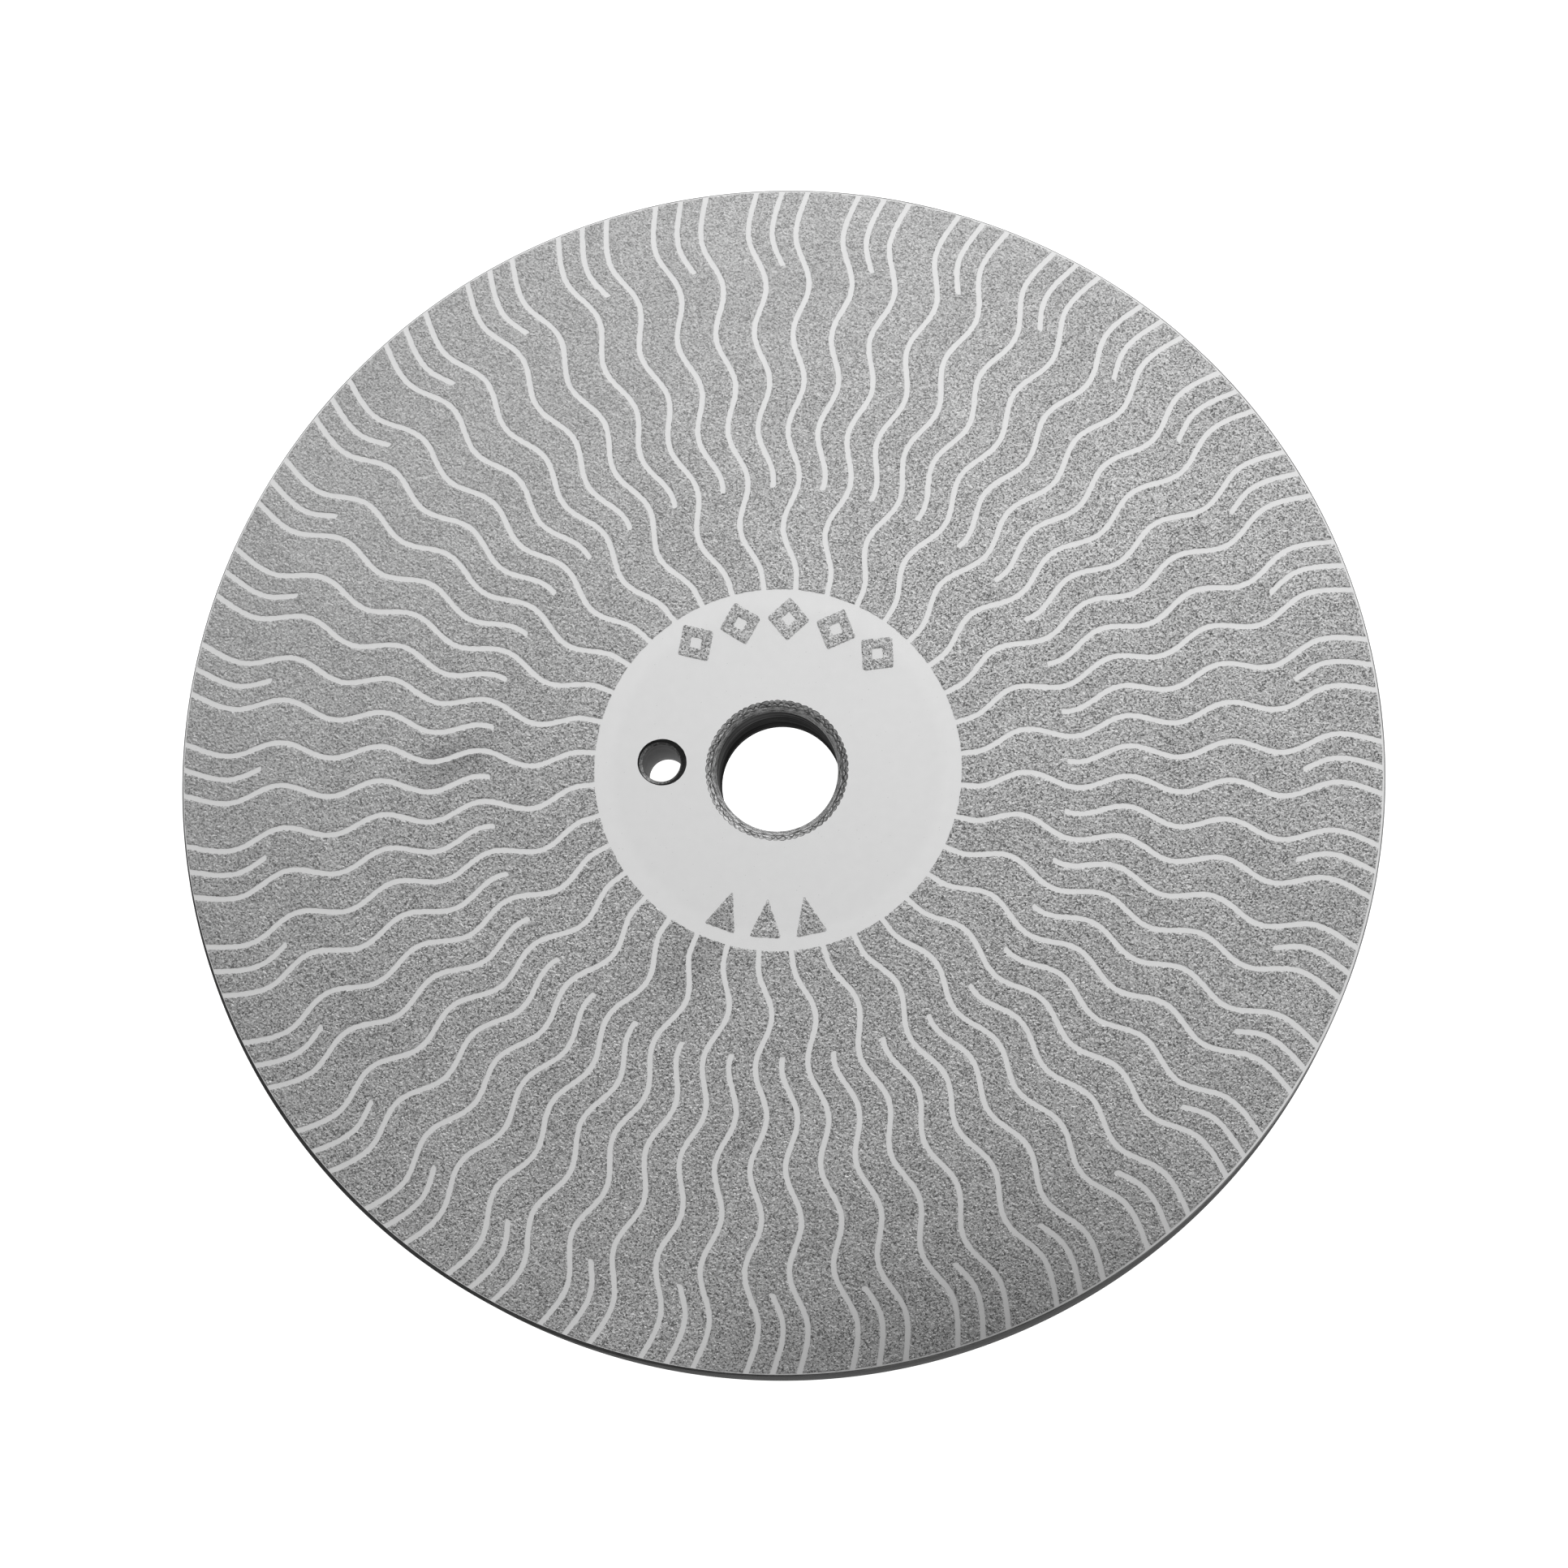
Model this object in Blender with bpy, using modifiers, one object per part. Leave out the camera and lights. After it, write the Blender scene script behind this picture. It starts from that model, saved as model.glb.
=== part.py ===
"""Diamond grinding wheel, 127 mm across, for a 12.7 mm spindle with a drive pin.

The wheel lies on its back. The origin is the centre of the back face, and +Z points out of the grinding face.
The drive pin hole is on -X. A turned steel blank carries a plated layer of diamond grit, and wavy bare lines
divide that layer into 36 separate islands. Eight small islands on the hub are plain marks.
"""

import math

import bmesh
import bpy

MM = 0.001

# Blank
WHEEL_RADIUS = 63.5 * MM
WHEEL_THICKNESS = 9.5 * MM
BORE_RADIUS = 6.40 * MM
BORE_CHAMFER = 1.18 * MM
BORE_CHAMFER_DEPTH = 0.90 * MM
BACK_CHAMFER = 0.25 * MM
EDGE_CHAMFER = 0.10 * MM
HUB_RADIUS = 19.32 * MM
HUB_STEP = 0.02 * MM
PIN_HOLE_RADIUS = 2.05 * MM
PIN_HOLE_CHAMFER = 0.55 * MM
PIN_HOLE_OFFSET = 12.30 * MM
TURNED_STEPS = 144
PIN_STEPS = 48

# Plated grit
GRIT_THICKNESS = 0.15 * MM
GRIT_GAP = 0.03 * MM
GRIT_INNER_RADIUS = 19.42 * MM
GRIT_OUTER_RADIUS = 63.28 * MM
ISLANDS = 36
ISLAND_ANGLE = 360.0 / ISLANDS

# Bare lines between and inside the islands. Each follows one wave along the radius.
LINE_WIDTH = 0.60 * MM
FIRST_LINE_ANGLE = 1.27
MIDDLE_LINE_START = 30.45 * MM
SHORT_LINE_START = 54.95 * MM
WAVE_TURN_RADIUS = 52.93 * MM
WAVE_HALF_LENGTH = 5.33 * MM
WAVE_SWING = 0.724 * MM
INNER_TURNS = 6
INNER_SWING = 0.96 * MM
OUTER_SWING = 0.97 * MM
OUTER_TURN_RADIUS = 58.66 * MM
RIM_TURN_RADIUS = 65.80 * MM
RIM_SWING = -0.50 * MM

# Plain marks on the hub
MARK_INNER_RADIUS = 13.85 * MM
MARK_OUTER_RADIUS = 18.55 * MM
MARK_WIDTH = 4.50 * MM
MARK_STROKE = 1.05 * MM
TOP_MARKS = 5
TOP_MARK_PITCH = 18.3
BOTTOM_MARKS = 3
BOTTOM_MARK_PITCH = 15.7
TRIANGLE_WIDTH = 3.30 * MM


def clear_scene():
    for obj in list(bpy.data.objects):
        bpy.data.objects.remove(obj, do_unlink=True)


def new_collection(name):
    collection = bpy.data.collections.new(name)
    bpy.context.scene.collection.children.link(collection)
    return collection


def make_material(name, colour, roughness, metallic):
    material = bpy.data.materials.new(name)
    material.use_nodes = True
    shader = material.node_tree.nodes["Principled BSDF"]
    shader.inputs["Base Color"].default_value = (*colour, 1.0)
    shader.inputs["Roughness"].default_value = roughness
    shader.inputs["Metallic"].default_value = metallic
    return material


def polar(radius, degrees):
    angle = math.radians(degrees)
    return (radius * math.cos(angle), radius * math.sin(angle))


def shade_by_angle(mesh, degrees=30.0):
    mesh.shade_smooth()
    mesh.set_sharp_from_angle(angle=math.radians(degrees))


# ---------------------------------------------------------------- blank

def turned_body(name, profile, steps, collection):
    """Turns a closed profile of (radius, height) points about Z."""
    mesh = bpy.data.meshes.new(name)
    outline = bmesh.new()
    corners = [outline.verts.new((radius, 0.0, height)) for radius, height in profile]
    for index, corner in enumerate(corners):
        outline.edges.new((corner, corners[(index + 1) % len(corners)]))
    outline.to_mesh(mesh)
    outline.free()
    body = bpy.data.objects.new(name, mesh)
    collection.objects.link(body)
    screw = body.modifiers.new("Turn", "SCREW")
    screw.axis = "Z"
    screw.angle = math.tau
    screw.steps = steps
    screw.render_steps = steps
    screw.use_merge_vertices = True
    screw.merge_threshold = 0.00001
    return body


def make_blank(collection, cutters, material):
    top = WHEEL_THICKNESS
    face = top - HUB_STEP
    profile = [
        (WHEEL_RADIUS - EDGE_CHAMFER, face),
        (WHEEL_RADIUS, face - EDGE_CHAMFER),
        (WHEEL_RADIUS, EDGE_CHAMFER),
        (WHEEL_RADIUS - EDGE_CHAMFER, 0.0),
        (BORE_RADIUS + BACK_CHAMFER, 0.0),
        (BORE_RADIUS, BACK_CHAMFER),
        (BORE_RADIUS, top - BORE_CHAMFER_DEPTH),
        (BORE_RADIUS + BORE_CHAMFER, top),
        (HUB_RADIUS, top),
        (HUB_RADIUS + 2.0 * HUB_STEP, face),
    ]
    blank = turned_body("wheel_blank", profile, TURNED_STEPS, collection)
    blank.data.materials.append(material)
    cut = blank.modifiers.new("Pin hole", "BOOLEAN")
    cut.operation = "DIFFERENCE"
    cut.solver = "EXACT"
    cut.object = make_pin_cutter(cutters)
    return blank


def make_pin_cutter(cutters):
    """A straight pin hole, countersunk on the grinding face and broken on the back, as one turned cutter."""
    top = WHEEL_THICKNESS
    over = 1.0 * MM
    wide = PIN_HOLE_RADIUS + PIN_HOLE_CHAMFER + over
    profile = [
        (wide, top + over),
        (PIN_HOLE_RADIUS, top - PIN_HOLE_CHAMFER),
        (PIN_HOLE_RADIUS, BACK_CHAMFER),
        (PIN_HOLE_RADIUS + BACK_CHAMFER + over, -over),
    ]
    mesh = bpy.data.meshes.new("pin_hole_cutter")
    outline = bmesh.new()
    points = [(0.0, top + over)] + profile + [(0.0, -over)]
    corners = [outline.verts.new((radius, 0.0, height)) for radius, height in points]
    for start, end in zip(corners, corners[1:]):
        outline.edges.new((start, end))
    outline.to_mesh(mesh)
    outline.free()
    cutter = bpy.data.objects.new("pin_hole_cutter", mesh)
    cutters.objects.link(cutter)
    cutter.location = (-PIN_HOLE_OFFSET, 0.0, 0.0)
    screw = cutter.modifiers.new("Turn", "SCREW")
    screw.axis = "Z"
    screw.angle = math.tau
    screw.steps = PIN_STEPS
    screw.render_steps = PIN_STEPS
    screw.use_merge_vertices = True
    screw.merge_threshold = 0.00001
    cutter.hide_render = True
    cutter.display_type = "WIRE"
    return cutter


# ---------------------------------------------------------------- bare lines

def wave_turns():
    """The radii where the wave turns back, each with its sideways swing, from the hub to past the rim."""
    turns = []
    for count in range(INNER_TURNS, -1, -1):
        side = -1.0 if count % 2 == 0 else 1.0
        swing = INNER_SWING if count == INNER_TURNS else WAVE_SWING
        turns.append((WAVE_TURN_RADIUS - count * WAVE_HALF_LENGTH, side * swing))
    turns.append((OUTER_TURN_RADIUS, OUTER_SWING))
    turns.append((RIM_TURN_RADIUS, RIM_SWING))
    return turns


def wave_offset(radius):
    """The sideways distance of a line's centre from its own radius line."""
    turns = wave_turns()
    if radius <= turns[0][0]:
        return turns[0][1]
    for (start, from_side), (end, to_side) in zip(turns, turns[1:]):
        if radius <= end:
            share = (radius - start) / (end - start)
            return from_side + (to_side - from_side) * (0.5 - 0.5 * math.cos(math.pi * share))
    return turns[-1][1]


def wave_slope(radius):
    step = 0.01 * MM
    return (wave_offset(radius + step) - wave_offset(radius - step)) / (2.0 * step)


def line_stations(start, end):
    """Radii along a line: two shoulders between each pair of turns, and both ends."""
    stations = [start]
    turns = wave_turns()
    for (low, _), (high, _) in zip(turns, turns[1:]):
        for share in (0.15, 0.85):
            radius = low + (high - low) * share
            if start + 0.4 * MM < radius < end - 0.4 * MM:
                stations.append(radius)
    stations.append(end)
    return stations


def line_side(angle, start, end, side):
    """One edge of a bare line, from start to end, as points in the plane. Side is +1 or -1."""
    points = []
    for radius in line_stations(start, end):
        half = 0.5 * LINE_WIDTH * math.hypot(1.0, wave_slope(radius))
        sideways = wave_offset(radius) + side * half
        points.append(polar(radius, angle + math.degrees(sideways / radius)))
    return points


def slit(angle, start, end):
    """The outline of a bare line that opens at the rim: in along one edge, out along the other."""
    inward = list(reversed(line_side(angle, start, end, -1.0)))
    outward = line_side(angle, start, end, 1.0)
    return inward + outward


def angle_of(point):
    return math.degrees(math.atan2(point[1], point[0]))


def arc_points(radius, first, last, pieces):
    """Points strictly between two corners along an arc, going the short way round."""
    begin = angle_of(first)
    sweep = (angle_of(last) - begin + 180.0) % 360.0 - 180.0
    return [polar(radius, begin + sweep * step / pieces) for step in range(1, pieces)]


def island_outline(index):
    """One grit island between two long lines, with the middle and the short line let into it from the rim."""
    angle = FIRST_LINE_ANGLE + index * ISLAND_ANGLE
    inner = GRIT_INNER_RADIUS
    outer = GRIT_OUTER_RADIUS
    first_edge = line_side(angle, inner, outer, 1.0)
    short_slit = slit(angle + 0.25 * ISLAND_ANGLE, SHORT_LINE_START, outer)
    middle_slit = slit(angle + 0.50 * ISLAND_ANGLE, MIDDLE_LINE_START, outer)
    last_edge = list(reversed(line_side(angle + ISLAND_ANGLE, inner, outer, -1.0)))
    outline = list(first_edge)
    for run, pieces in ((short_slit, 2), (middle_slit, 2), (last_edge, 3)):
        outline += arc_points(outer, outline[-1], run[0], pieces)
        outline += run
    outline += arc_points(inner, outline[-1], outline[0], 3)
    return outline


# ---------------------------------------------------------------- plated bodies

def plated_body(name, outlines, collection, material):
    """A flat layer of even thickness with its lower face just clear of the blank."""
    curve = bpy.data.curves.new(name + "_outline", "CURVE")
    curve.dimensions = "2D"
    curve.fill_mode = "BOTH"
    curve.extrude = 0.5 * GRIT_THICKNESS
    for outline in outlines:
        spline = curve.splines.new("POLY")
        spline.points.add(len(outline) - 1)
        for point, (x, y) in zip(spline.points, outline):
            point.co = (x, y, 0.0, 1.0)
        spline.use_cyclic_u = True
    drawn = bpy.data.objects.new(name + "_outline", curve)
    collection.objects.link(drawn)
    drawn.location = (0.0, 0.0, WHEEL_THICKNESS + GRIT_GAP + 0.5 * GRIT_THICKNESS)
    bpy.context.view_layer.update()
    evaluated = drawn.evaluated_get(bpy.context.evaluated_depsgraph_get())
    mesh = bpy.data.meshes.new_from_object(evaluated)
    mesh.name = name
    welded = bmesh.new()
    welded.from_mesh(mesh)
    bmesh.ops.remove_doubles(welded, verts=welded.verts, dist=0.000002)
    bmesh.ops.recalc_face_normals(welded, faces=welded.faces)
    welded.to_mesh(mesh)
    welded.free()
    body = bpy.data.objects.new(name, mesh)
    body.matrix_world = drawn.matrix_world.copy()
    collection.objects.link(body)
    bpy.data.objects.remove(drawn, do_unlink=True)
    mesh.materials.clear()
    mesh.materials.append(material)
    shade_by_angle(mesh)
    return body


def turned_outline(points, degrees):
    """Turns an outline drawn about +X to stand at the given angle."""
    turn = math.radians(degrees)
    cosine = math.cos(turn)
    sine = math.sin(turn)
    return [(x * cosine - y * sine, x * sine + y * cosine) for x, y in points]


def rhombus_outlines(degrees):
    """An open rhombus standing on its corner, its long axis along the radius."""
    middle = 0.5 * (MARK_INNER_RADIUS + MARK_OUTER_RADIUS)
    half_length = 0.5 * (MARK_OUTER_RADIUS - MARK_INNER_RADIUS)
    half_width = 0.5 * MARK_WIDTH
    outlines = []
    inset = MARK_STROKE * math.hypot(half_length, half_width) / (half_length * half_width)
    for share in (1.0, 1.0 - inset):
        corners = [
            (middle - half_length * share, 0.0),
            (middle, half_width * share),
            (middle + half_length * share, 0.0),
            (middle, -half_width * share),
        ]
        outlines.append(turned_outline(corners, degrees))
    return outlines


def triangle_outlines(degrees):
    """A solid triangle with its point towards the bore."""
    half_width = 0.5 * TRIANGLE_WIDTH
    corners = [
        (MARK_INNER_RADIUS, 0.0),
        (MARK_OUTER_RADIUS - 0.6 * MM, -half_width),
        (MARK_OUTER_RADIUS - 0.6 * MM, half_width),
    ]
    return [turned_outline(corners, degrees)]


def make_islands(collection, material):
    for index in range(ISLANDS):
        name = "grit_island_%02d" % (index + 1)
        plated_body(name, [island_outline(index)], collection, material)


def make_marks(collection, material):
    for index in range(TOP_MARKS):
        degrees = 90.0 + (index - 0.5 * (TOP_MARKS - 1)) * TOP_MARK_PITCH
        plated_body("hub_rhombus_%d" % (index + 1), rhombus_outlines(degrees), collection, material)
    for index in range(BOTTOM_MARKS):
        degrees = 270.0 + (index - 0.5 * (BOTTOM_MARKS - 1)) * BOTTOM_MARK_PITCH
        plated_body("hub_triangle_%d" % (index + 1), triangle_outlines(degrees), collection, material)


def main():
    clear_scene()
    wheel = new_collection("diamond_grinding_wheel")
    cutters = new_collection("cutters")
    metal = make_material("plated_steel", (0.66, 0.66, 0.66), 0.32, 1.0)
    grit = make_material("diamond_grit", (0.32, 0.32, 0.32), 0.75, 0.6)
    make_blank(wheel, cutters, metal)
    make_islands(wheel, grit)
    make_marks(wheel, grit)


main()
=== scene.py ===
import math

import bmesh
import bpy
import numpy as np
from mathutils import Matrix, Vector, geometry, noise


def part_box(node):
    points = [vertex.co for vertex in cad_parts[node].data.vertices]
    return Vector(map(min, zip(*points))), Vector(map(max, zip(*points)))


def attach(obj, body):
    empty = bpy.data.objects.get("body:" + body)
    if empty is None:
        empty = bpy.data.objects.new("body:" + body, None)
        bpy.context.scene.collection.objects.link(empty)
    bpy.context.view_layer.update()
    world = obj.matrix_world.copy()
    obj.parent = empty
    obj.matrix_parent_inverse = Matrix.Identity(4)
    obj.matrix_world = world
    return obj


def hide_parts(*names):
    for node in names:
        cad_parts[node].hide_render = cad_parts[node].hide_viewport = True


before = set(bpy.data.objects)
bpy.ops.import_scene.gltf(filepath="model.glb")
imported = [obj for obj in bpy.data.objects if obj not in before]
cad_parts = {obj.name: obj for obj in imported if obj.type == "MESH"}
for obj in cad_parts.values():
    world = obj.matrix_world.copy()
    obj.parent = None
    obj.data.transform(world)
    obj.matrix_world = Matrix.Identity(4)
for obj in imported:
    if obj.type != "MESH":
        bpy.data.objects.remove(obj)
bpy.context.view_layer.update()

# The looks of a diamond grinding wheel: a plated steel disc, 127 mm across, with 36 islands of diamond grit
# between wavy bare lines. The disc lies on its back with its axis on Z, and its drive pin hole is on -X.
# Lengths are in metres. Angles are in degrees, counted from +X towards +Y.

MM = 0.001

# ---------------------------------------------------------------- sizes

# The wheel, from the frame. The grit's step is shallower than in the frame, so that its edges look crisp.
WHEEL_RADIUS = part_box("wheel_blank")[1].x
GRIT_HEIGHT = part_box("grit_island_01")[1].z
GRIT_STEP = 0.08 * MM
FACE_HEIGHT = GRIT_HEIGHT - GRIT_STEP
BACK_CHAMFER = 0.20 * MM

# Bore, with a chattered and plated mouth
BORE_RADIUS = 6.40 * MM
BORE_MIDDLE = (-0.06 * MM, -0.14 * MM)
BORE_STEPS = 1280
BORE_ROWS = 14
BORE_GROOVE = 0.03 * MM
BORE_LIP_RADIUS = 7.50 * MM
BORE_LIP_DEPTH = 0.90 * MM
BORE_LIP_ROWS = 26
BORE_LOBES = 64
LOBE_DEPTH = 0.15 * MM
LOBE_WANDER = 0.45
NODULE_HEIGHT = 0.07 * MM

# Seams between the nodules: how far down the mouth each lies, how far it follows the lobes, and its drift
SEAMS = ((0.0, 0.0, 0.01), (0.30, 0.10, 0.05), (0.52, 0.03, 0.10), (0.68, 0.0, 0.10), (0.86, 0.0, 0.06))
SEAM_WIDTH = 0.11

# Where the mouth is darker: deep down on one side, and by the face on another
DARKER_DEEP_ANGLE = 135.0
DARKER_EDGE_ANGLE = 318.0

# Drive pin hole: a smooth mouth runs off centre into a narrower, chattered seat
PIN_MIDDLE = (-12.33 * MM, -0.06 * MM)
PIN_RADIUS = 2.00 * MM
PIN_STEPS = 240
PIN_ROWS = 16
PIN_GROOVE = 0.008 * MM
PIN_LIP_RADIUS = 2.55 * MM
PIN_LIP_OVAL = 0.055 * MM
PIN_LIP_SHIFT = (0.09 * MM, 0.01 * MM)
PIN_LIP_DEPTH = 0.50 * MM
PIN_LIP_ROWS = 12
PIN_SEAT_RADIUS = 2.22 * MM
PIN_SEAT_SHIFT = (-0.14 * MM, -0.10 * MM)
PIN_SEAT_SHARE = 0.4

# Rim, a hair out of round. Its broken edge is widest at one angle, and darkened by painted shade round
# another.
RIM_STEPS = 720
RIM_ROWS = 24
RIM_GROOVE = 0.015 * MM
RIM_INSET = 0.01 * MM
RIM_BULGE = 0.08 * MM
RIM_MIDDLE = (0.01 * MM, -0.01 * MM)
EDGE_CHAMFER = 0.14 * MM
WIDE_EDGE_ANGLE = 232.0
WIDE_EDGE_GROWTH = 2.0
PAINTED_SHADE_EDGE_ANGLE = 250.0

# Rings of extra points that keep the flat faces' triangles short, their distance from a hole's edge, and
# how far that edge may stray from a circle
FACE_RINGS = (9.3 * MM, 17.0 * MM, 20.0 * MM, 26.0 * MM, 34.0 * MM, 44.0 * MM, 54.0 * MM)
FACE_RING_STEPS = 120
FACE_RING_CLEARANCE = 0.5 * MM
HOLE_UNEVENNESS = 0.4 * MM

# Grit. Its outermost part is drawn in to leave a bare ring, which is widest at one angle.
ISLANDS = 36
ISLAND_ANGLE = 360.0 / ISLANDS
GRIT_INNER_RADIUS = 19.42 * MM
GRIT_OUTER_RADIUS = 63.22 * MM
FITTED_FROM_RADIUS = 62.5 * MM
BARE_RING_WIDTH = 0.09 * MM
BARE_RING_GROWTH = 0.10 * MM
WIDE_RING_ANGLE = 332.0
GRAIN_SIZE = 0.13 * MM
GRAIN_PITCH = 0.19 * MM
GRAIN_ROW_PITCH = 0.866 * GRAIN_PITCH
GRAIN_JITTER = 0.30
EDGE_PITCH = 0.18 * MM
GRAIN_RELIEF = 0.024 * MM
EDGE_RAGGEDNESS = 0.025 * MM
ISLAND_PLAN_SEED = 11
ISLAND_SEED = 100

# Soft dark ovals on the face: a painted shadow and stains. Each has a middle, a half length, a half width,
# a turn and the share of light that it leaves. The painted shadow comes in over the rim, so its middle lies
# off the disc.
PAINTED_SHADOW = ((40.4 * MM, -89.9 * MM), 61.3 * MM, 61.3 * MM, 0.0)
PAINTED_SHADOW_ON_PLATING = 0.03
PAINTED_SHADOW_ON_GRIT = 0.22
GRIT_STAINS = [
    ((-7.0 * MM, -19.5 * MM), 9.4 * MM, 4.6 * MM, 50.0, 0.84),
    ((-34.7 * MM, -1.3 * MM), 7.9 * MM, 3.8 * MM, 25.0, 0.70),
]

# The sides of the disc where the grit looks evener, where painted shade makes it duller, and where painted
# light makes it brighter
FINE_SIDE_ANGLE = 126.0
PAINTED_SHADE_SIDE_ANGLE = 95.0
PAINTED_LIGHT_SIDE_ANGLE = 212.0

# Bare lines, as in the frame
LINE_WIDTH = 0.60 * MM
FIRST_LINE_ANGLE = 1.27
MIDDLE_LINE_START = 30.45 * MM
SHORT_LINE_START = 54.95 * MM
LINE_END_ROUNDING = 0.22 * MM
WAVE_TURN_RADIUS = 52.93 * MM
WAVE_HALF_LENGTH = 5.33 * MM
WAVE_SWING = 0.724 * MM
INNER_TURNS = 6
INNER_SWING = 0.96 * MM
OUTER_SWING = 0.97 * MM
OUTER_TURN_RADIUS = 58.66 * MM
RIM_TURN_RADIUS = 65.80 * MM
RIM_SWING = -0.50 * MM

# Marks on the hub
MARK_INNER_RADIUS = 13.85 * MM
MARK_OUTER_RADIUS = 18.55 * MM
MARK_WIDTH = 4.50 * MM
MARK_STROKE = 1.05 * MM
TOP_MARKS = 5
TOP_MARK_PITCH = 18.3
BOTTOM_MARKS = 3
BOTTOM_MARK_PITCH = 15.7
TRIANGLE_WIDTH = 3.30 * MM
TRIANGLE_OUTER_RADIUS = MARK_OUTER_RADIUS - 0.6 * MM
MARK_PLAN_SEED = 21
MARK_SEED = 300

# Camera: it looks down at a point on the grinding face, from the azimuth and elevation given
CAMERA_AIM = (-11.12 * MM, 2.03 * MM, GRIT_HEIGHT)
CAMERA_AZIMUTH = 297.23
CAMERA_ELEVATION = 78.43
CAMERA_DISTANCE = 7.631 * WHEEL_RADIUS
CAMERA_ROLL = 23.26
CAMERA_LENS_MM = 105.28
CAMERA_SHIFT = (0.0701, -0.0259)

# Studio: soft lamps with their place, the point they face, width, depth and power, and an even pale world
LAMPS = [
    ("overhead", (0.07, 0.30, 0.42), (0.02, 0.05, 0.0), 0.75, 0.50, 2.0),
    ("far_side", (0.05, 0.75, 0.12), (0.0, 0.0, 0.02), 1.2, 0.25, 1.2),
]
WORLD_STRENGTH = 0.35
FLOOR_GLOW = 1.0
FLOOR_GAP = 0.02 * MM
FLOOR_HALF_SIZE = 4.0


# ---------------------------------------------------------------- small helpers

def polar(radius, degrees, height=0.0):
    angle = math.radians(degrees)
    return Vector((radius * math.cos(angle), radius * math.sin(angle), height))


def round_noise(degrees, lobes, layer):
    """Smooth noise from -1 to 1 round a circle, with about as many lobes as asked. It closes on itself."""
    angle = math.radians(degrees)
    reach = lobes / 4.0
    return noise.noise(Vector((reach * math.cos(angle), reach * math.sin(angle), layer)))


def facing(degrees, other):
    """1 at the other angle, fading to 0 a quarter turn away from it and beyond."""
    return max(0.0, math.cos(math.radians(degrees - other)))


def new_object(name, mesh, materials):
    obj = bpy.data.objects.new(name, mesh)
    bpy.context.scene.collection.objects.link(obj)
    for material in materials:
        mesh.materials.append(material)
    return obj


# ---------------------------------------------------------------- materials

class Shading:
    """A Principled material with short calls for the nodes used here."""

    def __init__(self, name, colour, metallic, roughness):
        self.material = bpy.data.materials.new(name)
        self.material.use_nodes = True
        self.tree = self.material.node_tree
        self.shader = self.tree.nodes["Principled BSDF"]
        self.shader.inputs["Base Color"].default_value = (*colour, 1.0)
        self.shader.inputs["Metallic"].default_value = metallic
        self.shader.inputs["Roughness"].default_value = roughness
        self.place = self.tree.nodes.new("ShaderNodeTexCoord").outputs["Object"]

    def link(self, source, target):
        self.tree.links.new(source, target)

    def stretched(self, scale):
        """The place, multiplied along each axis. A large scale squeezes a texture along its axis."""
        node = self.tree.nodes.new("ShaderNodeMapping")
        node.inputs["Scale"].default_value = scale
        self.link(self.place, node.inputs["Vector"])
        return node.outputs["Vector"]

    def height(self):
        """The height over the back face, in metres."""
        node = self.tree.nodes.new("ShaderNodeSeparateXYZ")
        self.link(self.place, node.inputs["Vector"])
        return node.outputs["Z"]

    def along(self, degrees):
        """How far a point lies towards an angle on the face, in metres."""
        node = self.tree.nodes.new("ShaderNodeVectorMath")
        node.operation = "DOT_PRODUCT"
        self.link(self.place, node.inputs[0])
        node.inputs[1].default_value = (*polar(1.0, degrees).xy, 0.0)
        return node.outputs["Value"]

    def length(self, vector):
        node = self.tree.nodes.new("ShaderNodeVectorMath")
        node.operation = "LENGTH"
        self.link(vector, node.inputs[0])
        return node.outputs["Value"]

    def noise(self, size, detail=2.0, roughness=0.5, vector=None):
        """Noise with features about size metres across. With a stretched vector, size is 1."""
        node = self.tree.nodes.new("ShaderNodeTexNoise")
        node.inputs["Scale"].default_value = 1.0 / size
        node.inputs["Detail"].default_value = detail
        node.inputs["Roughness"].default_value = roughness
        self.link(self.place if vector is None else vector, node.inputs["Vector"])
        return node.outputs["Fac"]

    def cells(self, size, output="Color"):
        """Random cells about size metres across: one random grey each, or the distance from each middle."""
        node = self.tree.nodes.new("ShaderNodeTexVoronoi")
        node.inputs["Scale"].default_value = 1.0 / size
        self.link(self.place, node.inputs["Vector"])
        if output == "Distance":
            return node.outputs["Distance"]
        split = self.tree.nodes.new("ShaderNodeSeparateColor")
        self.link(node.outputs["Color"], split.inputs["Color"])
        return split.outputs["Red"]

    def remap(self, value, low, high, to_low, to_high, smooth=False):
        """Carries a value from one range to another, and holds it at the ends."""
        node = self.tree.nodes.new("ShaderNodeMapRange")
        if smooth:
            node.interpolation_type = "SMOOTHSTEP"
        node.inputs["From Min"].default_value = low
        node.inputs["From Max"].default_value = high
        node.inputs["To Min"].default_value = to_low
        node.inputs["To Max"].default_value = to_high
        self.link(value, node.inputs["Value"])
        return node.outputs["Result"]

    def math(self, operation, first, second):
        node = self.tree.nodes.new("ShaderNodeMath")
        node.operation = operation
        for socket, value in zip(node.inputs, (first, second)):
            if isinstance(value, (int, float)):
                socket.default_value = value
            else:
                self.link(value, socket)
        return node.outputs["Value"]

    def times(self, *factors):
        """The product of several values."""
        product = factors[0]
        for factor in factors[1:]:
            product = self.math("MULTIPLY", product, factor)
        return product

    def ramp(self, value, stops):
        """A grey ramp through (position, grey) stops."""
        node = self.tree.nodes.new("ShaderNodeValToRGB")
        elements = node.color_ramp.elements
        elements[0].position, elements[-1].position = stops[0][0], stops[-1][0]
        for position, _ in stops[1:-1]:
            elements.new(position)
        for element, (_, grey) in zip(elements, stops):
            element.color = (grey, grey, grey, 1.0)
        self.link(value, node.inputs["Fac"])
        return node.outputs["Color"]

    def bump(self, height, distance, strength=1.0):
        node = self.tree.nodes.new("ShaderNodeBump")
        node.inputs["Strength"].default_value = strength
        node.inputs["Distance"].default_value = distance
        self.link(height, node.inputs["Height"])
        self.link(node.outputs["Normal"], self.shader.inputs["Normal"])

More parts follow.
